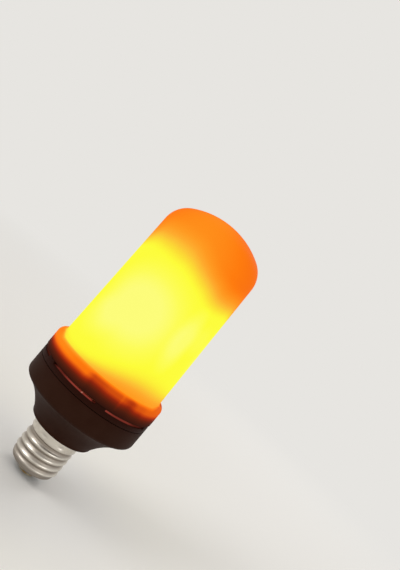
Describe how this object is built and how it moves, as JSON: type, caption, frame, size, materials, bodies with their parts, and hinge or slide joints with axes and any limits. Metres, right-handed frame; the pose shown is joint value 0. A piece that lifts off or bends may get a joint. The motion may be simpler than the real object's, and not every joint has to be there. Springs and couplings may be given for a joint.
{
  "type": "flame effect led bulb",
  "caption": "Screw cap LED bulb with a frosted domed tube over a cylindrical LED core, a vented ring and a flared housing that holds its driver.",
  "frame": {"origin": "middle of the centre contact's lower face, the lowest point of the bulb", "axes": "+Z along the bulb's axis from the screw cap up to the dome, -Y through the middle of one vent slot"},
  "size_m": [0.065, 0.065, 0.1576],
  "materials": {
    "frosted_cover": "milky translucent plastic, satin, lit yellow to orange from inside",
    "dark_plastic": "satin dark plastic",
    "nickel_plate": "nickel plated rolled sheet, slightly brushed",
    "brass": "tinned brass, dull",
    "black_insulator": "glossy black moulding",
    "white_plastic": "matte white moulding",
    "board_green": "green solder mask",
    "flex_white": "white solder mask with yellow LED faces",
    "component_black": "matte black moulded package",
    "component_blue": "glossy sleeve",
    "component_red": "glossy dipped coating",
    "ferrite": "dark grey ferrite",
    "zinc_steel": "zinc plated",
    "red_wire": "red insulation",
    "blue_wire": "blue insulation"
  },
  "bodies": {
    "root": {"screw_cap": "nickel_plate", "cap_insulator": "black_insulator", "centre_contact": "brass", "housing": "dark_plastic", "vent_ring": "dark_plastic", "diffuser_cover": "frosted_cover", "control_board": "board_green", "core_former": "white_plastic", "flex_led_board": "flex_white", "top_led_board": "flex_white", "base_screw_1": "zinc_steel", "base_screw_2": "zinc_steel", "base_screw_3": "zinc_steel", "top_screw": "zinc_steel", "driver_board": "board_green", "electrolytic_capacitor": "component_blue", "inductor": "ferrite", "film_capacitor": "component_red", "bridge_rectifier": "component_black", "driver_chip": "component_black", "fusible_resistor": "component_red", "controller_chip": "component_black", "tilt_sensor": "nickel_plate", "live_wire": "red_wire", "neutral_wire": "blue_wire", "led_wire_positive": "red_wire", "led_wire_negative": "blue_wire"}
  },
  "joints": []
}
